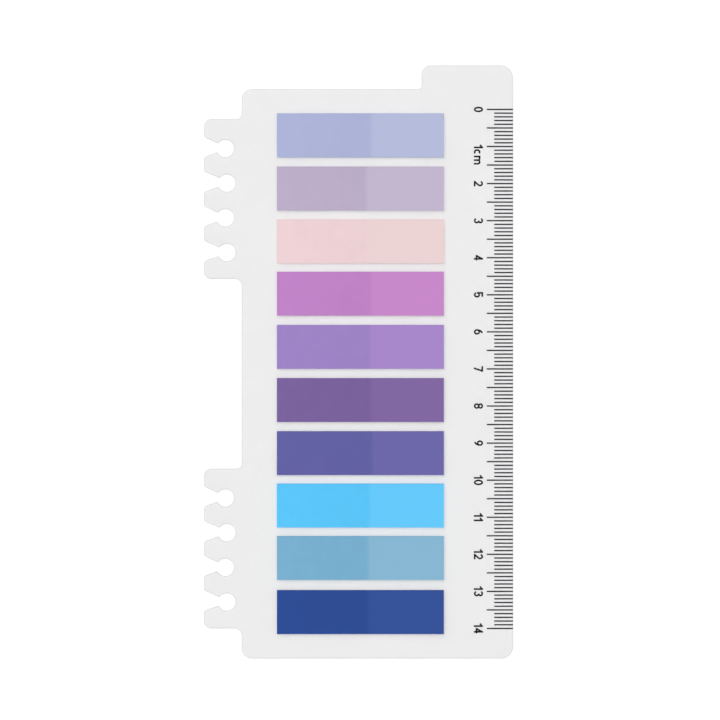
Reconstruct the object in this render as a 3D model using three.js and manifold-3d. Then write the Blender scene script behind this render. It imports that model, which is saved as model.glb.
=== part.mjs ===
// Film index flags in a column on a frosted ruler card with an index tab and ring fingers

import * as THREE from "three";
import { mergeVertices } from "three/addons/utils/BufferGeometryUtils.js";
import Module from "manifold-3d";

const wasm = await Module();
wasm.setup();

// Sizes are in millimetres. The card lies flat, with +X to its right, +Y up it and +Z off its face.

// Flag pads: stacks of films that stick at their left end and are free at their right
const stickyLength = 25;
const freeLength = 20;
const padWidth = 11.85;
const padGap = 2.43;
const filmCount = 20;
const filmThickness = 0.045;
const adhesiveThickness = 0.005;
const filmRoughness = 0.35;
const padShoulder = 2;

// Each pad's colour, and how far above its even place it was stuck down
const pads = [
  { name: "flag_pad_lilac", color: 0xafb5d8, stray: 0 },
  { name: "flag_pad_mauve", color: 0xbfb1cc, stray: -0.05 },
  { name: "flag_pad_blush", color: 0xedd3d4, stray: 0 },
  { name: "flag_pad_orchid", color: 0xc487c7, stray: 0.15 },
  { name: "flag_pad_violet", color: 0xa286c8, stray: 0.1 },
  { name: "flag_pad_plum", color: 0x7d659e, stray: 0.05 },
  { name: "flag_pad_indigo", color: 0x6765a6, stray: 0 },
  { name: "flag_pad_sky", color: 0x61c8fa, stray: 0.15 },
  { name: "flag_pad_steel", color: 0x80b3d0, stray: 0.3 },
  { name: "flag_pad_navy", color: 0x344f94, stray: 0 },
];

// Card: a margin round the column of pads, with a wider band on the right for the scale
const padMargin = 6.6;
const padInset = 9.5;
const scaleBand = 18.7;
const cardThickness = 0.5;
const cornerRadius = 2.7;
const footCornerRadius = 3.3;
const cardColor = 0xececee;
const cardRoughness = 0.5;

// Index tab at the card's top right
const tabWidth = 24.7;
const tabRise = 6.4;
const tabInnerRadius = 2.5;
const tabOuterRadius = 3.5;
const tabRootRadius = 1;

// Ring fingers: two groups down the left edge, with keyhole slots for the rings between them
const fingerReach = 10.2;
const fingerCornerRadius = 2;
const groupInset = 8.1;
const groupTopRadius = 1.4;
const groupFootRadius = 2;
const slotsPerGroup = 4;
const slotPitch = 9.35;
const upperFingerHeight = 7.9;
const lowerFingerHeight = 7.1;
const slotDiameter = 4.7;
const slotSetback = 4.25;
const slotStagger = 0.4;
const neckWidth = 2.5;
const neckLift = 0.2;
const lipRadius = 0.5;
const mouthWidth = 5.5;
const mouthLift = 0.4;
const mouthRadius = 1;

// Printed scale: a tick every millimetre and longer ones every half centimetre
const scaleTopMargin = 5.5;
const scaleFootMargin = 5;
const tickPitch = 1;
const ticksPerLongTick = 5;
const ticksPerNumber = 10;
const tickWidth = 0.36;
const shortTick = 5.1;
const longTick = 7.1;
const inkThickness = 0.04;
const inkRoot = 0.1;
const inkColor = 0x1b191b;

// Numbers: heavy upright figures, turned to be read with the scale at their top
const figureHeight = 2.5;
const figureWidth = 1.5;
const oneWidth = 0.95;
const figureStroke = 0.45;
const figureSpacing = 0.25;
const figureGap = 1;
const waist = 1.33;
const bowlRadius = 0.62;
const crossbarHeight = 0.72;
const flagFoot = 1.7;
const flagTop = 2.15;

// Letters: smaller, for the unit
const letterHeight = 1.8;
const letterWidth = 1.5;
const wideLetterWidth = 2.4;
const archRise = 0.48;

// Angles in degrees at which the figures' open curves end, taken from the right and anticlockwise
const hookEnd = 160;
const neckEnd = 30;
const tailEnd = 100;
const letterMouth = 50;

// How finely the corners, the slots' eyes and lips and the figures' curves are divided
const cornerSteps = 3;
const eyeSteps = 18;
const lipSteps = 3;
const figureSteps = 6;

// Sizes that follow from those above
const padLength = stickyLength + freeLength;
const padPitch = padWidth + padGap;
const padHeight = filmCount * (filmThickness + adhesiveThickness);
const freeHeight = filmCount * filmThickness;
const cardWidth = padInset + padLength + scaleBand;
const cardHeight = pads.length * padPitch - padGap + 2 * padMargin;
const groupHeight = upperFingerHeight + (slotsPerGroup - 1) * slotPitch + lowerFingerHeight;
const left = (fingerReach - cardWidth) / 2;
const right = left + cardWidth;
const foot = -(cardHeight + tabRise) / 2;
const shoulder = foot + cardHeight;

// A closed outline. Each corner is [x, y, radius], and one with a radius of 0 stays sharp.
function roundedOutline(corners) {
  const outline = new THREE.Shape();
  corners.forEach(([x, y, radius], index) => {
    const corner = new THREE.Vector2(x, y);
    if (radius === 0) {
      if (index === 0) outline.moveTo(x, y);
      else outline.lineTo(x, y);
      return;
    }
    const last = corners.at(index - 1);
    const next = corners[(index + 1) % corners.length];
    const back = new THREE.Vector2(last[0], last[1]).sub(corner).normalize();
    const ahead = new THREE.Vector2(next[0], next[1]).sub(corner).normalize();
    const halfAngle = back.angleTo(ahead) / 2;
    const toCentre = back.clone().add(ahead).setLength(radius / Math.sin(halfAngle));
    const centre = corner.clone().add(toCentre);
    const reach = radius / Math.tan(halfAngle);
    const start = corner.clone().addScaledVector(back, reach).sub(centre);
    const end = corner.clone().addScaledVector(ahead, reach).sub(centre);
    const clockwise = back.cross(ahead) > 0;
    outline.absarc(centre.x, centre.y, radius, start.angle(), end.angle(), clockwise);
  });
  outline.closePath();
  return outline;
}

// Points along an arc, as corners that stay sharp
function arcCorners(centre, radius, from, to, clockwise, steps) {
  const arc = new THREE.ArcCurve(centre.x, centre.y, radius, from, to, clockwise);
  return arc.getPoints(steps).map((point) => [point.x, point.y, 0]);
}

// One lip of a ring slot, between its round eye and its flared mouth: side is 1 above, -1 below.
function slotLip(eye, side) {
  const reach = slotDiameter / 2 + lipRadius;
  const rise = neckWidth / 2 + side * neckLift + lipRadius;
  const lip = new THREE.Vector2(-Math.sqrt(reach ** 2 - rise ** 2), side * rise).add(eye);
  const corner = new THREE.Vector2(left - fingerReach, eye.y + mouthLift + side * mouthWidth / 2);
  const toCorner = corner.clone().sub(lip);
  const mouthAngle = toCorner.angle() + side * Math.acos(lipRadius / toCorner.length());
  return { lip, corner, mouthAngle, eyeAngle: eye.clone().sub(lip).angle() };
}

// One ring slot, from the upper corner of its mouth, round its eye, to the lower corner
function ringSlot(y, setback) {
  const eye = new THREE.Vector2(left - setback, y);
  const upper = slotLip(eye, 1);
  const lower = slotLip(eye, -1);
  const start = upper.eyeAngle + Math.PI;
  const end = lower.eyeAngle + Math.PI;
  return [
    [upper.corner.x, upper.corner.y, mouthRadius],
    ...arcCorners(upper.lip, lipRadius, upper.mouthAngle, upper.eyeAngle, false, lipSteps),
    ...arcCorners(eye, slotDiameter / 2, start, end, true, eyeSteps).slice(1, -1),
    ...arcCorners(lower.lip, lipRadius, lower.eyeAngle, lower.mouthAngle, false, lipSteps),
    [lower.corner.x, lower.corner.y, mouthRadius],
  ];
}

// One group of ring fingers, down the left edge from the height of its upper corner
function fingerGroup(top) {
  const tip = left - fingerReach;
  const slots = [];
  for (let index = 0; index < slotsPerGroup; index += 1) {
    const y = top - upperFingerHeight - index * slotPitch;
    const nearer = index % 2 ? -slotStagger / 2 : slotStagger / 2;
    slots.push(...ringSlot(y, slotSetback + nearer));
  }
  return [
    [left, top, groupTopRadius],
    [tip, top, fingerCornerRadius],
    ...slots,
    [tip, top - groupHeight, fingerCornerRadius],
    [left, top - groupHeight, groupFootRadius],
  ];
}

// The card's outline, down its left edge first
function cardOutline() {
  return roundedOutline([
    [left, shoulder, cornerRadius],
    ...fingerGroup(shoulder - groupInset),
    ...fingerGroup(foot + groupInset + groupHeight),
    [left, foot, cornerRadius],
    [right, foot, footCornerRadius],
    [right, shoulder + tabRise, tabOuterRadius],
    [right - tabWidth, shoulder + tabRise, tabInnerRadius],
    [right - tabWidth, shoulder, tabRootRadius],
  ]);
}

// Extrudes an outline upwards from a height, as a solid that can be joined to others.
function prism(outline, bottom, depth, curveSegments) {
  const geometry = new THREE.ExtrudeGeometry(outline, { depth, curveSegments, bevelEnabled: false });
  geometry.translate(0, 0, bottom);
  geometry.deleteAttribute("normal");
  geometry.deleteAttribute("uv");
  const merged = mergeVertices(geometry);
  return new wasm.Manifold(new wasm.Mesh({
    numProp: 3,
    vertProperties: Float32Array.from(merged.attributes.position.array),
    triVerts: Uint32Array.from(merged.index.array),
  }));
}

// A stroke of a figure: a line of constant width along a path
function stroke(path) {
  const points = path.getPoints(figureSteps);
  const leftSide = [];
  const rightSide = [];
  points.forEach((point, index) => {
    const before = points[Math.max(index - 1, 0)];
    const after = points[Math.min(index + 1, points.length - 1)];
    const across = after.clone().sub(before).rotateAround(new THREE.Vector2(), Math.PI / 2);
    across.setLength(figureStroke / 2);
    leftSide.push(point.clone().add(across));
    rightSide.unshift(point.clone().sub(across));
  });
  return new THREE.Shape([...leftSide, ...rightSide]);
}

// A straight stroke between two points
function bar(x1, y1, x2, y2) {
  return stroke(new THREE.Path().moveTo(x1, y1).lineTo(x2, y2));
}

// A stroke along part of an ellipse, clockwise between two angles in degrees
function bow(x, y, radiusX, radiusY, from, to) {
  const path = new THREE.Path();
  const start = THREE.MathUtils.degToRad(from);
  const end = THREE.MathUtils.degToRad(to);
  path.absellipse(x, y, radiusX, radiusY, start, end, true);
  return stroke(path);
}

// A closed elliptical stroke
function loop(x, y, radiusX, radiusY) {
  const half = figureStroke / 2;
  const ring = new THREE.Shape();
  ring.absellipse(x, y, radiusX + half, radiusY + half, 0, 2 * Math.PI);
  const inside = new THREE.Path();
  inside.absellipse(x, y, radiusX - half, radiusY - half, 0, 2 * Math.PI, true);
  ring.holes.push(inside);
  return ring;
}

// The middle lines of a figure's strokes
const inset = figureStroke / 2;
const edge = figureWidth - inset;
const top = figureHeight - inset;
const middle = figureWidth / 2;
const bowlReach = middle - inset;
const stem = edge - inset;
const lowBowl = inset + bowlRadius;
const highBowl = top - bowlRadius;
const tailRise = top - lowBowl;

// The lower and the upper bowl of a figure with a waist, each as its middle and its half height
const underWaist = [(waist + inset) / 2, (waist - inset) / 2];
const overWaist = [(top + waist) / 2, (top - waist) / 2];

// The end of the curve at the top of a 2
const neckX = middle + bowlReach * Math.cos(THREE.MathUtils.degToRad(neckEnd));
const neckY = highBowl - bowlRadius * Math.sin(THREE.MathUtils.degToRad(neckEnd));

// The stems and arches of an m
const archSpan = (wideLetterWidth - figureStroke) / 2;
const spring = letterHeight - inset - archRise;

// Each figure and letter as its width and its strokes
const figures = {
  0: [figureWidth, [loop(middle, figureHeight / 2, bowlReach, figureHeight / 2 - inset)]],
  1: [oneWidth, [
    bar(oneWidth - inset, 0, oneWidth - inset, figureHeight),
    bar(0, flagFoot, oneWidth - inset, flagTop),
  ]],
  2: [figureWidth, [
    bow(middle, highBowl, bowlReach, bowlRadius, hookEnd, -neckEnd),
    bar(neckX, neckY, inset, inset),
    bar(0, inset, figureWidth, inset),
  ]],
  3: [figureWidth, [
    bow(middle, overWaist[0], bowlReach, overWaist[1], hookEnd, -90),
    bow(middle, underWaist[0], bowlReach, underWaist[1], 90, -hookEnd),
  ]],
  4: [figureWidth, [
    bar(stem, 0, stem, figureHeight),
    bar(stem, top, inset, crossbarHeight),
    bar(0, crossbarHeight, figureWidth, crossbarHeight),
  ]],
  5: [figureWidth, [
    bar(inset, top, edge, top),
    bar(inset, figureHeight, inset, lowBowl),
    bow(middle, lowBowl, bowlReach, bowlRadius, hookEnd, -hookEnd),
  ]],
  6: [figureWidth, [
    loop(middle, lowBowl, bowlReach, bowlRadius),
    bow(edge, lowBowl, 2 * bowlReach, tailRise, 180, tailEnd),
  ]],
  7: [figureWidth, [
    bar(0, top, figureWidth, top),
    bar(edge, top, middle - inset, 0),
  ]],
  8: [figureWidth, [
    loop(middle, overWaist[0], bowlReach, overWaist[1]),
    loop(middle, underWaist[0], bowlReach, underWaist[1]),
  ]],
  9: [figureWidth, [
    loop(middle, highBowl, bowlReach, bowlRadius),
    bow(inset, highBowl, 2 * bowlReach, tailRise, 0, tailEnd - 180),
  ]],
  c: [letterWidth, [
    bow(letterWidth / 2, letterHeight / 2, letterWidth / 2 - inset, letterHeight / 2 - inset,
      -letterMouth, letterMouth),
  ]],
  m: [wideLetterWidth, [
    bar(inset, 0, inset, letterHeight),
    bar(inset + archSpan, 0, inset + archSpan, spring),
    bar(inset + 2 * archSpan, 0, inset + 2 * archSpan, spring),
    bow(inset + archSpan / 2, spring, archSpan / 2, archRise, 180, 0),
    bow(inset + 1.5 * archSpan, spring, archSpan / 2, archRise, 180, 0),
  ]],
};

// Raises an outline as ink, which is let into the card so that the two are one solid.
function ink(outline) {
  return prism(outline, cardThickness - inkRoot, inkRoot + inkThickness, figureSteps);
}

// The length of a word, from its first figure's left side to its last one's right
function wordLength(word) {
  const widths = [...word].map((character) => figures[character][0]);
  return widths.reduce((sum, width) => sum + width + figureSpacing, -figureSpacing);
}

// A word's strokes, read down the card from a start, with the figures' tops to the right
function printedWord(word, start) {
  const solids = [];
  const base = right - longTick - figureGap - figureHeight;
  let along = start;
  for (const character of word) {
    const [width, strokes] = figures[character];
    for (const outline of strokes) {
      solids.push(ink(outline).rotate([0, 0, -90]).translate([base, along, 0]));
    }
    along -= width + figureSpacing;
  }
  return solids;
}

// The scale is as many whole centimetres as the card has room for.
function scalePrint() {
  const room = cardHeight - scaleTopMargin - scaleFootMargin;
  const lastTick = Math.floor(room / (tickPitch * ticksPerNumber)) * ticksPerNumber;
  const solids = [];
  for (let tick = 0; tick <= lastTick; tick += 1) {
    const y = shoulder - scaleTopMargin - tick * tickPitch;
    const length = tick % ticksPerLongTick === 0 ? longTick : shortTick;
    solids.push(ink(new THREE.Shape([
      new THREE.Vector2(right - length, y - tickWidth / 2),
      new THREE.Vector2(right, y - tickWidth / 2),
      new THREE.Vector2(right, y + tickWidth / 2),
      new THREE.Vector2(right - length, y + tickWidth / 2),
    ])));
    if (tick % ticksPerNumber === 0) {
      const number = String(tick / ticksPerNumber);
      const start = y + wordLength(number) / 2;
      const unit = tick === ticksPerNumber ? "cm" : "";
      solids.push(...printedWord(number + unit, start));
    }
  }
  return solids;
}

// The card with its print, coloured face by face: what stands above the card's face is ink.
function rulerCard() {
  let solid = prism(cardOutline(), 0, cardThickness, cornerSteps);
  for (const print of scalePrint()) solid = solid.add(print);
  const { vertProperties, triVerts } = solid.getMesh();
  const indexed = new THREE.BufferGeometry();
  indexed.setAttribute("position", new THREE.BufferAttribute(Float32Array.from(vertProperties), 3));
  indexed.setIndex(new THREE.BufferAttribute(Uint32Array.from(triVerts), 1));
  const geometry = indexed.toNonIndexed();
  geometry.computeVertexNormals();
  const position = geometry.attributes.position;
  const colors = [];
  for (let vertex = 0; vertex < position.count; vertex += 3) {
    const heights = [0, 1, 2].map((corner) => position.getZ(vertex + corner));
    const raised = Math.max(...heights) > cardThickness + inkThickness / 2;
    const color = new THREE.Color(raised ? inkColor : cardColor);
    for (let corner = 0; corner < 3; corner += 1) colors.push(...color.toArray());
  }
  geometry.setAttribute("color", new THREE.Float32BufferAttribute(colors, 3));
  const finish = { vertexColors: true, roughness: cardRoughness, metalness: 0 };
  const material = new THREE.MeshStandardMaterial(finish);
  const mesh = new THREE.Mesh(geometry, material);
  mesh.name = "ruler_card";
  return mesh;
}

// A pad's side view: the adhesive makes the stuck end a little thicker than the free end.
function padProfile() {
  return new THREE.Shape([
    new THREE.Vector2(0, 0),
    new THREE.Vector2(padLength, 0),
    new THREE.Vector2(padLength, freeHeight),
    new THREE.Vector2(stickyLength + padShoulder, freeHeight),
    new THREE.Vector2(stickyLength, padHeight),
    new THREE.Vector2(0, padHeight),
  ]);
}

// A pad lies on the card's face, in its place in the column.
function flagPad({ name, color, stray }, index) {
  const geometry = new THREE.ExtrudeGeometry(padProfile(), { depth: padWidth, bevelEnabled: false });
  geometry.rotateX(Math.PI / 2);
  const finish = { color, roughness: filmRoughness, metalness: 0 };
  const material = new THREE.MeshStandardMaterial(finish);
  const mesh = new THREE.Mesh(geometry, material);
  mesh.name = name;
  mesh.position.set(left + padInset, shoulder - padMargin - index * padPitch + stray, cardThickness);
  return mesh;
}

const product = new THREE.Group();
product.add(rulerCard(), ...pads.map(flagPad));

export default product;
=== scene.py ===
# Film index flags on a frosted ruler card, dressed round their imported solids
import math
import random

import bpy
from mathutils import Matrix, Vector


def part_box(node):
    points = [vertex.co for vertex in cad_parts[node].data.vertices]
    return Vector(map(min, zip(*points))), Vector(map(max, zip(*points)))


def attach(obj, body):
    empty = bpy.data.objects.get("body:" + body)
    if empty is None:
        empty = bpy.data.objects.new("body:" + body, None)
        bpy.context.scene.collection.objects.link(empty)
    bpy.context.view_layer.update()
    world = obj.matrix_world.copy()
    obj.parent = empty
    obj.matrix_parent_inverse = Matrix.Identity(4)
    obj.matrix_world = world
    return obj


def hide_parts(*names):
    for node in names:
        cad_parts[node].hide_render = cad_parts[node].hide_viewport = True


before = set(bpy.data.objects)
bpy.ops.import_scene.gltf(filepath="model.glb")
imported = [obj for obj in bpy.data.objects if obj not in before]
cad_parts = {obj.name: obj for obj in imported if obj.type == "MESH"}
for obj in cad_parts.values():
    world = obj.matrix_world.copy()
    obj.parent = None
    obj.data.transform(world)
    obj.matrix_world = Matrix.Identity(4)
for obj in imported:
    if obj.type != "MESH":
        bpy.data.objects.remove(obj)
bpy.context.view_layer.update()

# Sizes are in metres, in the part's own frame: the card lies flat, and its face looks along +Z
MM = 0.001
COLLECTION = bpy.context.scene.collection

# The card's places, taken from its solid
card_low, card_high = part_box("ruler_card")
TIP = card_low.x
RIGHT = card_high.x
FOOT = card_low.y
TAB_TOP = card_high.y
SOLID_INK_THICKNESS = 0.04 * MM
CARD_TOP = card_high.z - SOLID_INK_THICKNESS

# The card's outline
FINGER_REACH = 10.2 * MM
TAB_WIDTH = 24.7 * MM
TAB_RISE = 6.4 * MM
CORNER_RADIUS = 2.7 * MM
FOOT_CORNER_RADIUS = 3.3 * MM
TAB_INNER_RADIUS = 2.5 * MM
TAB_OUTER_RADIUS = 3.5 * MM
TAB_ROOT_RADIUS = 1 * MM
LEFT = TIP + FINGER_REACH
SHOULDER = TAB_TOP - TAB_RISE

# The ring fingers and the keyhole slots between them
FINGER_CORNER_RADIUS = 2 * MM
GROUP_INSET = 8.1 * MM
GROUP_TOP_RADIUS = 1.4 * MM
GROUP_FOOT_RADIUS = 2 * MM
SLOTS_PER_GROUP = 4
SLOT_PITCH = 9.35 * MM
UPPER_FINGER_HEIGHT = 7.9 * MM
LOWER_FINGER_HEIGHT = 7.1 * MM
SLOT_RADIUS = 2.35 * MM
SLOT_SETBACK = 4.25 * MM
SLOT_STAGGER = 0.4 * MM
NECK_HALF = 1.25 * MM
NECK_LIFT = 0.2 * MM
LIP_RADIUS = 0.5 * MM
MOUTH_HALF = 2.75 * MM
MOUTH_LIFT = 0.4 * MM
MOUTH_RADIUS = 1 * MM
GROUP_HEIGHT = UPPER_FINGER_HEIGHT + (SLOTS_PER_GROUP - 1) * SLOT_PITCH + LOWER_FINGER_HEIGHT
ARC_STEP = math.radians(7)
LEAST_ARC_STEPS = 2

# The card's cut edge: how far in from its outline and how far from its flat sides it rolls over
FOOT_ROLL = 0.05 * MM
FACE_ROLL = 0.09 * MM
SOFT_ROLL = 0.025 * MM
SOFT_BAND = 0.2 * MM
SHARP_ANGLE = math.radians(40)

# The printed scale, a little proud of the card's face. A figure's strokes overlap, so each one
# stands a step higher than the last.
INK_RISE = 0.012 * MM
INK_ROOT = 0.02 * MM
STROKE_STEP = 0.002 * MM
SCALE_TOP_MARGIN = 5.5 * MM
LAST_TICK = 140
TICK_PITCH = 1 * MM
TICKS_PER_LONG_TICK = 5
TICKS_PER_NUMBER = 10
TICK_WIDTH = 0.36 * MM
SHORT_TICK = 5.1 * MM
LONG_TICK = 7.1 * MM
TICK_END_GAP = 0.05 * MM

# The scale's figures, and the smaller letters of its unit
FIGURE_HEIGHT = 2.5 * MM
FIGURE_WIDTH = 1.5 * MM
ONE_WIDTH = 0.95 * MM
FIGURE_STROKE = 0.45 * MM
FIGURE_SPACING = 0.25 * MM
FIGURE_GAP = 1 * MM
WAIST = 1.33 * MM
BOWL_RADIUS = 0.62 * MM
CROSSBAR_HEIGHT = 0.72 * MM
FLAG_FOOT = 1.7 * MM
FLAG_TOP = 2.15 * MM
LETTER_HEIGHT = 1.8 * MM
LETTER_WIDTH = 1.5 * MM
WIDE_LETTER_WIDTH = 2.4 * MM
ARCH_RISE = 0.48 * MM

# Angles in degrees at which the figures' open curves end, taken from the right and anticlockwise
HOOK_END = 160
NECK_END = 30
TAIL_END = 100
LETTER_MOUTH = 50
BOW_STEP = 12

# The middle lines of the figures' strokes
INSET = FIGURE_STROKE / 2
EDGE = FIGURE_WIDTH - INSET
TOP = FIGURE_HEIGHT - INSET
MIDDLE = FIGURE_WIDTH / 2
BOWL_REACH = MIDDLE - INSET
STEM = EDGE - INSET
LOW_BOWL = INSET + BOWL_RADIUS
HIGH_BOWL = TOP - BOWL_RADIUS
TAIL_RISE = TOP - LOW_BOWL
UNDER_WAIST = ((WAIST + INSET) / 2, (WAIST - INSET) / 2)
OVER_WAIST = ((TOP + WAIST) / 2, (TOP - WAIST) / 2)
NECK_X = MIDDLE + BOWL_REACH * math.cos(math.radians(NECK_END))
NECK_Y = HIGH_BOWL - BOWL_RADIUS * math.sin(math.radians(NECK_END))
ARCH_SPAN = (WIDE_LETTER_WIDTH - FIGURE_STROKE) / 2
SPRING = LETTER_HEIGHT - INSET - ARCH_RISE
FIRST_ARCH = INSET + ARCH_SPAN / 2
SECOND_ARCH = FIRST_ARCH + ARCH_SPAN
NUMBER_BASE = RIGHT - LONG_TICK - FIGURE_GAP - FIGURE_HEIGHT

# The stacks of films: each film is stuck along its left part, springs open a hair past that, and
# has slipped a little along its length and across it
FILM_COUNT = 20
ADHESIVE_THICKNESS = 0.005 * MM
STICKY_LENGTH = 25 * MM
FREE_STATIONS = 8
LIFT_LEAST = 0.001 * MM
LIFT_MOST = 0.011 * MM
LIFT_CURVE = 1.4
SLIP_ALONG = 0.06 * MM
SLIP_ACROSS = 0.04 * MM
SEED = 7

# Each pad's colour where its films stick together and where they are free, as 0 to 255 values,
# and how far in millimetres past its even place the sticky part ends
PADS = {
    "lilac": ((173, 180, 216), (182, 188, 219), 0.4),
    "mauve": ((188, 174, 201), (195, 183, 207), -0.9),
    "blush": ((238, 210, 213), (236, 212, 212), -1),
    "orchid": ((192, 132, 198), (200, 137, 201), 0.4),
    "violet": ((158, 132, 197), (167, 136, 202), 0.2),
    "plum": ((122, 99, 156), (129, 104, 161), 0.4),
    "indigo": ((99, 98, 163), (109, 104, 169), 0.7),
    "sky": ((93, 198, 249), (103, 202, 251), 0),
    "steel": ((122, 175, 206), (136, 183, 210), -0.4),
    "navy": ((49, 77, 146), (55, 82, 151), -0.4),
}
CARD_COLOR = (240, 240, 240)
# The cut edge's colour, darker than the face: painted shade along the card's edge and its rolled rim
CARD_EDGE_SHADE_COLOR = (222, 222, 223)
INK_COLOR = (14, 12, 14)
THIN_INK_COLOR = (28, 26, 28)

# The surfaces: how rough, how glossy and how uneven each is
CARD_ROUGHNESS = (0.46, 0.56)
CARD_GRAIN = 0.22 * MM
CARD_GRAIN_DEPTH = 0.02 * MM
EDGE_GRAIN_DEPTH = 0.01 * MM
CARD_CLOUD = 14 * MM
CLOUD_TONE = 0.985
SPECK_TONES = (0.985, 1.015)
CARD_SCATTER = 0.35
SCATTER_DEPTH = 0.8 * MM
INK_ROUGHNESS = 0.45
INK_SPECULAR = 0.15
INK_GRAIN = 0.15 * MM
INK_GRAIN_DEPTH = 0.006 * MM
FILM_ROUGHNESS = (0.29, 0.37)
FILM_SPECULAR = 0.2
FILM_GLOSS_LIGHT = 0.0115
FILM_STREAK = 1.2 * MM
STREAK_STRETCH = (0.15, 1, 1)
FILM_WAVE = 9 * MM
WAVE_DEPTH = 0.05 * MM
WAVE_STRENGTH = 0.5
SEAM_HALF = 0.7 * MM
WETTING = 3.5 * MM
WETTING_TONE = 1.035
SEAM_TONE = 0.965
CUT_DEPTH = 1.15
SHEET_TONES = (0.85, 1.2)
UPRIGHT_LIMIT = 0.5
NOISE_LOW = 0.3
NOISE_HIGH = 0.7
GRAIN_DETAIL = 2
CLOUD_DETAIL = 3

# The places of a mix node's sockets for colours, which share their names with those for numbers
FIRST_COLOR = 6
SECOND_COLOR = 7
MIXED_COLOR = 2

# The studio: shares of full brightness that the world and the lamps give a level white surface
WORLD_SHARE = 0.305
KEY_SHARE = 0.515
FILL_SHARE = 0.185
FLOOR_REFLECTANCE = 0.8
FLOOR_LIFT = 0.225
FLOOR_HALF = 3

# The lamps' angles in degrees: off the vertical, round it, and how broad each looks from the part
KEY_TILT = 3
KEY_HEADING = 40
KEY_BREADTH = 10
FILL_TILT = 30
FILL_HEADING = -140
FILL_BREADTH = 40

# The camera: a long lens straight above, framed as the photograph is
PICTURE_SIDE = 720
PIXELS_PER_MM = 3.7074
CAMERA_LENS = 200
CAMERA_X = 0.4 * MM
CAMERA_Y = 0.5 * MM
CLIP_START = 0.01
CLIP_END = 100


def linear(color):
    """A screen colour of 0 to 255 values as the linear colour that a shader takes."""
    values = [channel / 255 for channel in color]
    return [v / 12.92 if v <= 0.04045 else ((v + 0.055) / 1.055) ** 2.4 for v in values] + [1]


def under_gloss(color):
    """A screen colour as a shader takes it, less the light that a film's gloss adds to it."""
    return [max(channel - FILM_GLOSS_LIGHT, 0) for channel in linear(color)[:3]] + [1]


def toned(color, factor):
    """A linear colour made lighter or darker by a factor."""
    return [channel * factor for channel in color[:3]] + [1]


def rotated(vector, angle):
    cos, sin = math.cos(angle), math.sin(angle)
    return Vector((vector.x * cos - vector.y * sin, vector.x * sin + vector.y * cos))


def angle_of(vector):
    return math.atan2(vector.y, vector.x)


def swept(centre, start, sweep):
    """Points round a centre, from a start vector through an angle."""
    steps = max(LEAST_ARC_STEPS, math.ceil(abs(sweep) / ARC_STEP))
    return [centre + rotated(start, sweep * step / steps) for step in range(steps + 1)]


def turn(start, end, direction):
    """The angle from one direction to another, turning only the way that is asked for."""
    return direction * ((direction * (end - start)) % math.tau)


def rounded_corner(before, corner, after, radius):
    """The arc that rounds the corner of an outline."""
    back = (before - corner).normalized()
    ahead = (after - corner).normalized()
    half = back.angle(ahead) / 2
    centre = corner + (back + ahead).normalized() * (radius / math.sin(half))
    reach = radius / math.tan(half)
    start = corner + back * reach - centre
    end = corner + ahead * reach - centre
    direction = -1 if back.x * ahead.y - back.y * ahead.x > 0 else 1
    return swept(centre, start, turn(angle_of(start), angle_of(end), direction))


def outline_points(corners):
    """A closed outline as points. A corner is (point, radius), and a radius of 0 stays sharp."""
    points = []
    for index, (corner, radius) in enumerate(corners):
        before = corners[index - 1][0]
        after = corners[(index + 1) % len(corners)][0]
        points += rounded_corner(before, corner, after, radius) if radius else [corner]
    return points


def slot_lip(eye, side):
    """Where a ring slot's round eye opens into its mouth: side is 1 above and -1 below."""
    reach = SLOT_RADIUS + LIP_RADIUS
    rise = NECK_HALF + side * NECK_LIFT + LIP_RADIUS
    lip = eye + Vector((-math.sqrt(reach**2 - rise**2), side * rise))
    corner = Vector((TIP, eye.y + MOUTH_LIFT + side * MOUTH_HALF))
    to_corner = corner - lip
    mouth_angle = angle_of(to_corner) + side * math.acos(LIP_RADIUS / to_corner.length)
    return lip, corner, mouth_angle, angle_of(eye - lip)


def ring_slot(y, setback):
    """The corners of one ring slot, from the top of its mouth round its eye to the foot of it."""
    eye = Vector((LEFT - setback, y))
    upper_lip, upper_corner, upper_mouth, upper_eye = slot_lip(eye, 1)
    lower_lip, lower_corner, lower_mouth, lower_eye = slot_lip(eye, -1)
    lip_start = rotated(Vector((LIP_RADIUS, 0)), upper_mouth)
    eye_start = rotated(Vector((SLOT_RADIUS, 0)), upper_eye + math.pi)
    lip_end = rotated(Vector((LIP_RADIUS, 0)), lower_eye)
    points = swept(upper_lip, lip_start, turn(upper_mouth, upper_eye, 1))
    points += swept(eye, eye_start, turn(upper_eye, lower_eye, -1))[1:-1]
    points += swept(lower_lip, lip_end, turn(lower_eye, lower_mouth, 1))
    sharp = [(point, 0) for point in points]
    return [(upper_corner, MOUTH_RADIUS), *sharp, (lower_corner, MOUTH_RADIUS)]


def finger_group(top):
    """The corners of one group of ring fingers, down the card's left edge."""
    corners = [(Vector((LEFT, top)), GROUP_TOP_RADIUS), (Vector((TIP, top)), FINGER_CORNER_RADIUS)]
    for index in range(SLOTS_PER_GROUP):
        y = top - UPPER_FINGER_HEIGHT - index * SLOT_PITCH
        nearer = -SLOT_STAGGER / 2 if index % 2 else SLOT_STAGGER / 2
        corners += ring_slot(y, SLOT_SETBACK + nearer)
    foot = top - GROUP_HEIGHT
    corners.append((Vector((TIP, foot)), FINGER_CORNER_RADIUS))
    corners.append((Vector((LEFT, foot)), GROUP_FOOT_RADIUS))
    return corners


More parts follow.
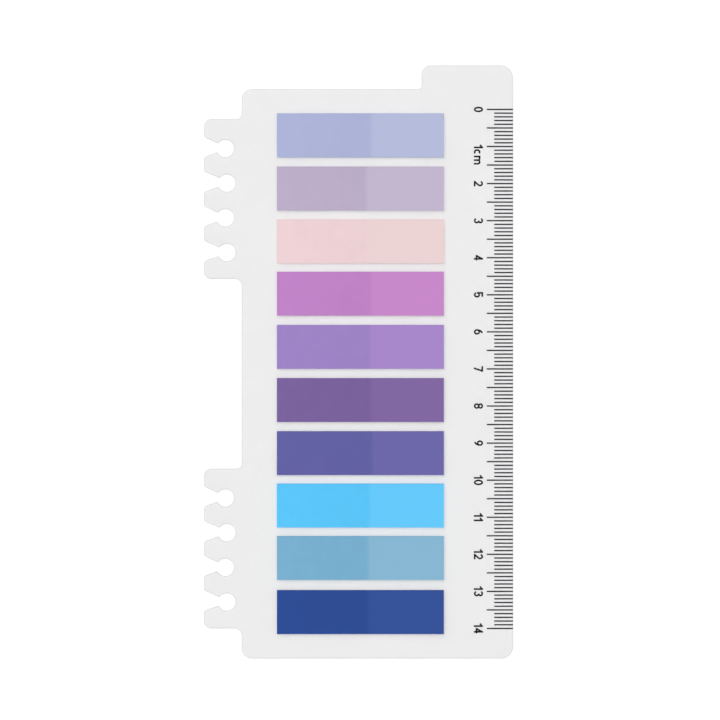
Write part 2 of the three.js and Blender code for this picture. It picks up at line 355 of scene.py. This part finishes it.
def card_outline():
    """The card's outline, anticlockwise from its upper left corner."""
    return outline_points([
        (Vector((LEFT, SHOULDER)), CORNER_RADIUS),
        *finger_group(SHOULDER - GROUP_INSET),
        *finger_group(FOOT + GROUP_INSET + GROUP_HEIGHT),
        (Vector((LEFT, FOOT)), CORNER_RADIUS),
        (Vector((RIGHT, FOOT)), FOOT_CORNER_RADIUS),
        (Vector((RIGHT, TAB_TOP)), TAB_OUTER_RADIUS),
        (Vector((RIGHT - TAB_WIDTH, TAB_TOP)), TAB_INNER_RADIUS),
        (Vector((RIGHT - TAB_WIDTH, SHOULDER)), TAB_ROOT_RADIUS),
    ])


def inset_points(points, distance):
    """An anticlockwise outline moved inwards by a distance."""
    moved = []
    for index, point in enumerate(points):
        along_in = (point - points[index - 1]).normalized()
        along_out = (points[(index + 1) % len(points)] - point).normalized()
        inward = Vector((-along_in.y - along_out.y, along_in.x + along_out.x)).normalized()
        share = inward.dot(Vector((-along_in.y, along_in.x)))
        moved.append(point + inward * distance / share)
    return moved


class Skin:
    """The points and faces of a mesh that is made of lofted parts."""

    def __init__(self):
        self.verts = []
        self.faces = []

    def loft(self, sections, closed=False):
        """Joins a row of sections, each a ring that runs anticlockwise as seen from ahead."""
        start = len(self.verts)
        count = len(sections[0])
        for section in sections:
            self.verts += section
        for row in range(len(sections) if closed else len(sections) - 1):
            here = start + row * count
            there = start + (row + 1) % len(sections) * count
            for index in range(count):
                after = (index + 1) % count
                self.faces.append((here + index, here + after, there + after, there + index))
        if not closed:
            last = len(self.verts) - count
            self.faces.append(tuple(reversed(range(start, start + count))))
            self.faces.append(tuple(range(last, last + count)))

    def piece(self, name, materials, slot, *replaced):
        """Makes the mesh a piece that rides on the part and may stand for some of its solids."""
        mesh = bpy.data.meshes.new(name)
        mesh.from_pydata(self.verts, [], self.faces)
        mesh.update()
        piece = bpy.data.objects.new(name, mesh)
        COLLECTION.objects.link(piece)
        for material in materials:
            mesh.materials.append(material)
        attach(piece, "root")
        if replaced:
            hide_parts(*replaced)
        return piece


class Nodes:
    """The node tree of a material or world, and short calls for the nodes that feed its shader."""

    def __init__(self, owner, shader="Principled BSDF"):
        owner.use_nodes = True
        self.owner = owner
        self.tree = owner.node_tree
        self.shader = self.tree.nodes[shader]

    def node(self, kind, **settings):
        made = self.tree.nodes.new(kind)
        for key, value in settings.items():
            setattr(made, key, value)
        return made

    def feed(self, target, value):
        """Links an output to a socket, or writes a constant into it."""
        if isinstance(value, bpy.types.NodeSocket):
            self.tree.links.new(value, target)
        else:
            target.default_value = value

    def put(self, socket, value):
        """Feeds one of the main shader's own sockets."""
        self.feed(self.shader.inputs[socket], value)

    def axis(self, name):
        split = self.node("ShaderNodeSeparateXYZ")
        self.feed(split.inputs[0], self.node("ShaderNodeTexCoord").outputs["Object"])
        return split.outputs[name]

    def noise(self, size, detail=GRAIN_DETAIL, stretch=(1, 1, 1)):
        """Noise with features of about a size in metres."""
        mapping = self.node("ShaderNodeMapping")
        self.feed(mapping.inputs["Vector"], self.node("ShaderNodeTexCoord").outputs["Object"])
        self.feed(mapping.inputs["Scale"], stretch)
        texture = self.node("ShaderNodeTexNoise")
        self.feed(texture.inputs["Vector"], mapping.outputs[0])
        self.feed(texture.inputs["Scale"], 1 / size)
        self.feed(texture.inputs["Detail"], detail)
        return texture.outputs["Fac"]

    def remap(self, value, low, high, new_low=0, new_high=1, interpolation="LINEAR"):
        ramp = self.node("ShaderNodeMapRange", interpolation_type=interpolation)
        for socket, number in zip(ramp.inputs, (value, low, high, new_low, new_high)):
            self.feed(socket, number)
        return ramp.outputs[0]

    def spread(self, noise, low=0, high=1):
        """Stretches the range that noise mostly lies in over another one."""
        return self.remap(noise, NOISE_LOW, NOISE_HIGH, low, high)

    def mix(self, factor, first, second, blend="MIX"):
        mixer = self.node("ShaderNodeMix", data_type="RGBA", blend_type=blend)
        self.feed(mixer.inputs["Factor"], factor)
        self.feed(mixer.inputs[FIRST_COLOR], first)
        self.feed(mixer.inputs[SECOND_COLOR], second)
        return mixer.outputs[MIXED_COLOR]

    def calculate(self, operation, first, second=0):
        maths = self.node("ShaderNodeMath", operation=operation)
        self.feed(maths.inputs[0], first)
        self.feed(maths.inputs[1], second)
        return maths.outputs[0]

    def bump(self, height, distance, strength=1):
        bump = self.node("ShaderNodeBump")
        self.feed(bump.inputs["Height"], height)
        self.feed(bump.inputs["Distance"], distance)
        self.feed(bump.inputs["Strength"], strength)
        self.put("Normal", bump.outputs[0])

    def backdrop_ray(self):
        """1 for the rays that show the backdrop: the camera's, reflected and transmitted ones."""
        path = self.node("ShaderNodeLightPath").outputs
        mirrored = self.calculate("MAXIMUM", path["Is Glossy Ray"], path["Is Transmission Ray"])
        return self.calculate("MAXIMUM", path["Is Camera Ray"], mirrored)


def frosted_plastic(name, color, grain_depth):
    """Frosted sheet: a fine even grain, faint cloudiness, and light that spreads inside it."""
    nodes = Nodes(bpy.data.materials.new(name))
    cloud = nodes.spread(nodes.noise(CARD_CLOUD, detail=CLOUD_DETAIL))
    tone = nodes.mix(cloud, linear(color), toned(linear(color), CLOUD_TONE))
    grain = nodes.noise(CARD_GRAIN)
    nodes.put("Base Color", nodes.mix(1, tone, nodes.spread(grain, *SPECK_TONES), "MULTIPLY"))
    nodes.put("Roughness", nodes.spread(grain, *CARD_ROUGHNESS))
    nodes.put("Subsurface Weight", CARD_SCATTER)
    nodes.put("Subsurface Radius", (1, 1, 1))
    nodes.put("Subsurface Scale", SCATTER_DEPTH)
    nodes.bump(grain, grain_depth)
    return nodes.owner


def printing_ink():
    """Ink that lies thin and a little uneven, so that the grain under it shows."""
    nodes = Nodes(bpy.data.materials.new("printing_ink"))
    uneven = nodes.noise(INK_GRAIN)
    nodes.put("Base Color", nodes.mix(nodes.spread(uneven), linear(INK_COLOR), linear(THIN_INK_COLOR)))
    nodes.put("Roughness", INK_ROUGHNESS)
    nodes.put("Specular IOR Level", INK_SPECULAR)
    nodes.bump(uneven, INK_GRAIN_DEPTH)
    return nodes.owner


def coloured_film(name, stuck, free, seam):
    """A pad's films: deeper in tone where they stick together, and deepest at their cut edges."""
    nodes = Nodes(bpy.data.materials.new(name))
    wetting = nodes.spread(nodes.noise(WETTING, detail=CLOUD_DETAIL))
    stuck_tone = nodes.mix(wetting, under_gloss(stuck), toned(under_gloss(stuck), WETTING_TONE))
    along = nodes.axis("X")
    shade = nodes.remap(along, seam - STICKY_LENGTH, seam, 1, SEAM_TONE)
    past_seam = nodes.remap(along, seam - SEAM_HALF, seam + SEAM_HALF, interpolation="SMOOTHSTEP")
    face = nodes.mix(past_seam, nodes.mix(1, stuck_tone, shade, "MULTIPLY"), under_gloss(free))
    cut = [channel**CUT_DEPTH for channel in linear(stuck)]
    sheet = nodes.node("ShaderNodeAttribute", attribute_name="sheet_tone").outputs["Fac"]
    cut_tone = nodes.mix(1, cut, nodes.remap(sheet, 0, 1, *SHEET_TONES), "MULTIPLY")
    normal = nodes.node("ShaderNodeSeparateXYZ")
    nodes.feed(normal.inputs[0], nodes.node("ShaderNodeNewGeometry").outputs["Normal"])
    rise = nodes.calculate("ABSOLUTE", normal.outputs["Z"])
    upright = nodes.calculate("LESS_THAN", rise, UPRIGHT_LIMIT)
    nodes.put("Base Color", nodes.mix(upright, face, cut_tone))
    streaks = nodes.noise(FILM_STREAK, stretch=STREAK_STRETCH)
    nodes.put("Roughness", nodes.spread(streaks, *FILM_ROUGHNESS))
    nodes.put("Specular IOR Level", FILM_SPECULAR)
    nodes.bump(nodes.noise(FILM_WAVE), WAVE_DEPTH, WAVE_STRENGTH)
    return nodes.owner


def make_card():
    """The card, lofted up its cut edge, which is slightly rolled at both faces. The cut edge and its
    rolled rim get a darker copy of the face's plastic: painted shade.
    """
    outline = card_outline()
    rings = [
        (FOOT_ROLL, 0),
        (0, FOOT_ROLL),
        (0, CARD_TOP - FACE_ROLL),
        (FOOT_ROLL, CARD_TOP - SOFT_ROLL),
        (SOFT_BAND, CARD_TOP),
    ]
    skin = Skin()
    skin.loft([
        [(point.x, point.y, height) for point in inset_points(outline, inset)]
        for inset, height in rings
    ])
    face = frosted_plastic("frosted_face", CARD_COLOR, CARD_GRAIN_DEPTH)
    # The face's frosted plastic in a darker colour, on the cut edge and rolled rim: painted shade
    # along the card's edge
    painted_shade_edge = frosted_plastic("frosted_edge_painted_shade", CARD_EDGE_SHADE_COLOR, EDGE_GRAIN_DEPTH)
    card = skin.piece("frosted_card", [painted_shade_edge, face], "card", "ruler_card")
    for polygon in card.data.polygons:
        polygon.use_smooth = True
    flat_sides = list(card.data.polygons)[-2:]
    for polygon in flat_sides:
        polygon.material_index = 1
    card.data.set_sharp_from_angle(angle=SHARP_ANGLE)


def make_ticks(material):
    """The scale's ticks, each a thin raised bar of ink that runs to the card's right edge."""
    skin = Skin()
    end = RIGHT - TICK_END_GAP
    for tick in range(LAST_TICK + 1):
        y = SHOULDER - SCALE_TOP_MARGIN - tick * TICK_PITCH
        start = RIGHT - (SHORT_TICK if tick % TICKS_PER_LONG_TICK else LONG_TICK)
        low, high = y - TICK_WIDTH / 2, y + TICK_WIDTH / 2
        skin.loft([
            [(start, low, z), (end, low, z), (end, high, z), (start, high, z)]
            for z in (CARD_TOP - INK_ROOT, CARD_TOP + INK_RISE)
        ])
    skin.piece("scale_ticks", [material], "ink")


def bar(x1, y1, x2, y2):
    """A straight stroke of a figure, as its places and whether it is closed."""
    return [Vector((x1, y1)), Vector((x2, y2))], False


def bow(x, y, reach, rise, start, end):
    """A stroke along part of an ellipse, clockwise between two angles in degrees."""
    steps = math.ceil((start - end) / BOW_STEP)
    angles = [math.radians(start + (end - start) * step / steps) for step in range(steps + 1)]
    return [Vector((x + reach * math.cos(a), y + rise * math.sin(a))) for a in angles], False


def loop(x, y, reach, rise):
    """A closed elliptical stroke."""
    spots, _ = bow(x, y, reach, rise, 360, 0)
    return spots[:-1], True


# Each figure and letter as its width and its strokes
FIGURES = {
    "0": (FIGURE_WIDTH, [loop(MIDDLE, FIGURE_HEIGHT / 2, BOWL_REACH, FIGURE_HEIGHT / 2 - INSET)]),
    "1": (ONE_WIDTH, [
        bar(ONE_WIDTH - INSET, 0, ONE_WIDTH - INSET, FIGURE_HEIGHT),
        bar(0, FLAG_FOOT, ONE_WIDTH - INSET, FLAG_TOP),
    ]),
    "2": (FIGURE_WIDTH, [
        bow(MIDDLE, HIGH_BOWL, BOWL_REACH, BOWL_RADIUS, HOOK_END, -NECK_END),
        bar(NECK_X, NECK_Y, INSET, INSET),
        bar(0, INSET, FIGURE_WIDTH, INSET),
    ]),
    "3": (FIGURE_WIDTH, [
        bow(MIDDLE, OVER_WAIST[0], BOWL_REACH, OVER_WAIST[1], HOOK_END, -90),
        bow(MIDDLE, UNDER_WAIST[0], BOWL_REACH, UNDER_WAIST[1], 90, -HOOK_END),
    ]),
    "4": (FIGURE_WIDTH, [
        bar(STEM, 0, STEM, FIGURE_HEIGHT),
        bar(STEM, TOP, INSET, CROSSBAR_HEIGHT),
        bar(0, CROSSBAR_HEIGHT, FIGURE_WIDTH, CROSSBAR_HEIGHT),
    ]),
    "5": (FIGURE_WIDTH, [
        bar(INSET, TOP, EDGE, TOP),
        bar(INSET, FIGURE_HEIGHT, INSET, LOW_BOWL),
        bow(MIDDLE, LOW_BOWL, BOWL_REACH, BOWL_RADIUS, HOOK_END, -HOOK_END),
    ]),
    "6": (FIGURE_WIDTH, [
        loop(MIDDLE, LOW_BOWL, BOWL_REACH, BOWL_RADIUS),
        bow(EDGE, LOW_BOWL, 2 * BOWL_REACH, TAIL_RISE, 180, TAIL_END),
    ]),
    "7": (FIGURE_WIDTH, [
        bar(0, TOP, FIGURE_WIDTH, TOP),
        bar(EDGE, TOP, MIDDLE - INSET, 0),
    ]),
    "8": (FIGURE_WIDTH, [
        loop(MIDDLE, OVER_WAIST[0], BOWL_REACH, OVER_WAIST[1]),
        loop(MIDDLE, UNDER_WAIST[0], BOWL_REACH, UNDER_WAIST[1]),
    ]),
    "9": (FIGURE_WIDTH, [
        loop(MIDDLE, HIGH_BOWL, BOWL_REACH, BOWL_RADIUS),
        bow(INSET, HIGH_BOWL, 2 * BOWL_REACH, TAIL_RISE, 0, TAIL_END - 180),
    ]),
    "c": (LETTER_WIDTH, [
        bow(LETTER_WIDTH / 2, LETTER_HEIGHT / 2, LETTER_WIDTH / 2 - INSET, LETTER_HEIGHT / 2 - INSET,
            360 - LETTER_MOUTH, LETTER_MOUTH),
    ]),
    "m": (WIDE_LETTER_WIDTH, [
        bar(INSET, 0, INSET, LETTER_HEIGHT),
        bar(INSET + ARCH_SPAN, 0, INSET + ARCH_SPAN, SPRING),
        bar(INSET + 2 * ARCH_SPAN, 0, INSET + 2 * ARCH_SPAN, SPRING),
        bow(FIRST_ARCH, SPRING, ARCH_SPAN / 2, ARCH_RISE, 180, 0),
        bow(SECOND_ARCH, SPRING, ARCH_SPAN / 2, ARCH_RISE, 180, 0),
    ]),
}


def raise_stroke(skin, spots, closed, along, high):
    """Lofts a stroke as ink up to a height, turned so that the figure's top faces the ticks."""
    low = CARD_TOP - INK_ROOT
    sections = []
    for index, spot in enumerate(spots):
        before = spots[index - 1] if closed or index else spot
        after = spots[(index + 1) % len(spots)] if closed or index < len(spots) - 1 else spot
        across = rotated((after - before).normalized(), math.pi / 2) * FIGURE_STROKE / 2
        one, other = spot + across, spot - across
        corners = ((one, low), (one, high), (other, high), (other, low))
        sections.append([(NUMBER_BASE + side.y, along - side.x, z) for side, z in corners])
    skin.loft(sections, closed)


def make_numbers(material):
    """The scale's figures, each number centred on its tick, with the unit after the first."""
    skin = Skin()
    for number in range(LAST_TICK // TICKS_PER_NUMBER + 1):
        digits = str(number)
        length = sum(FIGURES[digit][0] + FIGURE_SPACING for digit in digits) - FIGURE_SPACING
        along = SHOULDER - SCALE_TOP_MARGIN - number * TICKS_PER_NUMBER * TICK_PITCH + length / 2
        for character in digits + ("cm" if number == 1 else ""):
            width, strokes = FIGURES[character]
            for layer, (spots, closed) in enumerate(strokes):
                raise_stroke(skin, spots, closed, along, CARD_TOP + INK_RISE + layer * STROKE_STEP)
            along -= width + FIGURE_SPACING
    skin.piece("scale_numbers", [material], "ink")


def make_pad(colour, rng):
    """A pad of separate films in its solid's outline, each laid a hair out of line."""
    low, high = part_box(f"flag_pad_{colour}")
    stuck, free, seam_shift = PADS[colour]
    seam = low.x + STICKY_LENGTH + seam_shift * MM
    stuck_end, free_end = low.x + SLIP_ALONG, high.x - SLIP_ALONG
    near_side, far_side = low.y + SLIP_ACROSS, high.y - SLIP_ACROSS
    film_thickness = (high.z - low.z) / FILM_COUNT - ADHESIVE_THICKNESS
    free_shares = [step / FREE_STATIONS for step in range(FREE_STATIONS + 1)]
    free_stations = [(seam + share * (free_end - seam), share) for share in free_shares]
    stations = [(stuck_end, 0), *free_stations]
    skin = Skin()
    tones = []
    floor_heights = [low.z] * len(stations)
    for _ in range(FILM_COUNT):
        slip_x = rng.uniform(-SLIP_ALONG, SLIP_ALONG)
        slip_y = rng.uniform(-SLIP_ACROSS, SLIP_ACROSS)
        near, far = near_side + slip_y, far_side + slip_y
        sections = []
        for (x, _), under in zip(stations, floor_heights):
            over = under + film_thickness
            corners = ((near, under), (far, under), (far, over), (near, over))
            sections.append([(x + slip_x, y, z) for y, z in corners])
        skin.loft(sections)
        tones += [rng.random()] * (len(skin.verts) - len(tones))
        lift = rng.uniform(LIFT_LEAST, LIFT_MOST)
        floor_heights = [
            under + film_thickness + ADHESIVE_THICKNESS + lift * share**LIFT_CURVE
            for (_, share), under in zip(stations, floor_heights)
        ]
    material = coloured_film(f"{colour}_film", stuck, free, seam)
    pad = skin.piece(f"{colour}_films", [material], f"{colour}_film", f"flag_pad_{colour}")
    attribute = pad.data.attributes.new("sheet_tone", "FLOAT", "POINT")
    attribute.data.foreach_set("value", tones)


def make_floor():
    """A white floor: lit like the part, and lifted to plain white where the camera sees it."""
    half = FLOOR_HALF
    mesh = bpy.data.meshes.new("floor")
    corners = [(-half, -half, 0), (half, -half, 0), (half, half, 0), (-half, half, 0)]
    mesh.from_pydata(corners, [], [(0, 1, 2, 3)])
    floor = bpy.data.objects.new("floor", mesh)
    COLLECTION.objects.link(floor)
    nodes = Nodes(bpy.data.materials.new("white_floor"))
    nodes.put("Base Color", (FLOOR_REFLECTANCE, FLOOR_REFLECTANCE, FLOOR_REFLECTANCE, 1))
    nodes.put("Roughness", 1)
    nodes.put("Specular IOR Level", 0)
    nodes.put("Emission Color", (1, 1, 1, 1))
    nodes.put("Emission Strength", nodes.calculate("MULTIPLY", nodes.backdrop_ray(), FLOOR_LIFT))
    mesh.materials.append(nodes.owner)


def make_world():
    """Even white light all round, and a white backdrop where the camera sees it."""
    nodes = Nodes(bpy.data.worlds.new("studio"), "Background")
    bpy.context.scene.world = nodes.owner
    nodes.put("Color", (1, 1, 1, 1))
    nodes.put("Strength", nodes.remap(nodes.backdrop_ray(), 0, 1, WORLD_SHARE, 1))


def make_lamp(name, share, tilt, heading, breadth):
    """A broad far lamp, placed by angles in degrees, that no gloss mirrors."""
    data = bpy.data.lights.new(name, "SUN")
    data.energy = share * math.pi / math.cos(math.radians(tilt))
    data.angle = math.radians(breadth)
    lamp = bpy.data.objects.new(name, data)
    COLLECTION.objects.link(lamp)
    lamp.rotation_euler = (math.radians(tilt), 0, math.radians(heading))
    lamp.visible_glossy = False


def make_camera():
    data = bpy.data.cameras.new("camera")
    data.lens = CAMERA_LENS
    data.clip_start = CLIP_START
    data.clip_end = CLIP_END
    distance = PICTURE_SIDE / PIXELS_PER_MM * MM * data.lens / data.sensor_width
    camera = bpy.data.objects.new("camera", data)
    camera.location = (CAMERA_X, CAMERA_Y, CARD_TOP + distance)
    COLLECTION.objects.link(camera)
    bpy.context.scene.camera = camera


bpy.context.scene.view_settings.view_transform = "Standard"
make_camera()
make_card()
ink_material = printing_ink()
make_ticks(ink_material)
make_numbers(ink_material)
pad_random = random.Random(SEED)
for pad_colour in PADS:
    make_pad(pad_colour, pad_random)
make_floor()
make_world()
make_lamp("key", KEY_SHARE, KEY_TILT, KEY_HEADING, KEY_BREADTH)
make_lamp("fill", FILL_SHARE, FILL_TILT, FILL_HEADING, FILL_BREADTH)
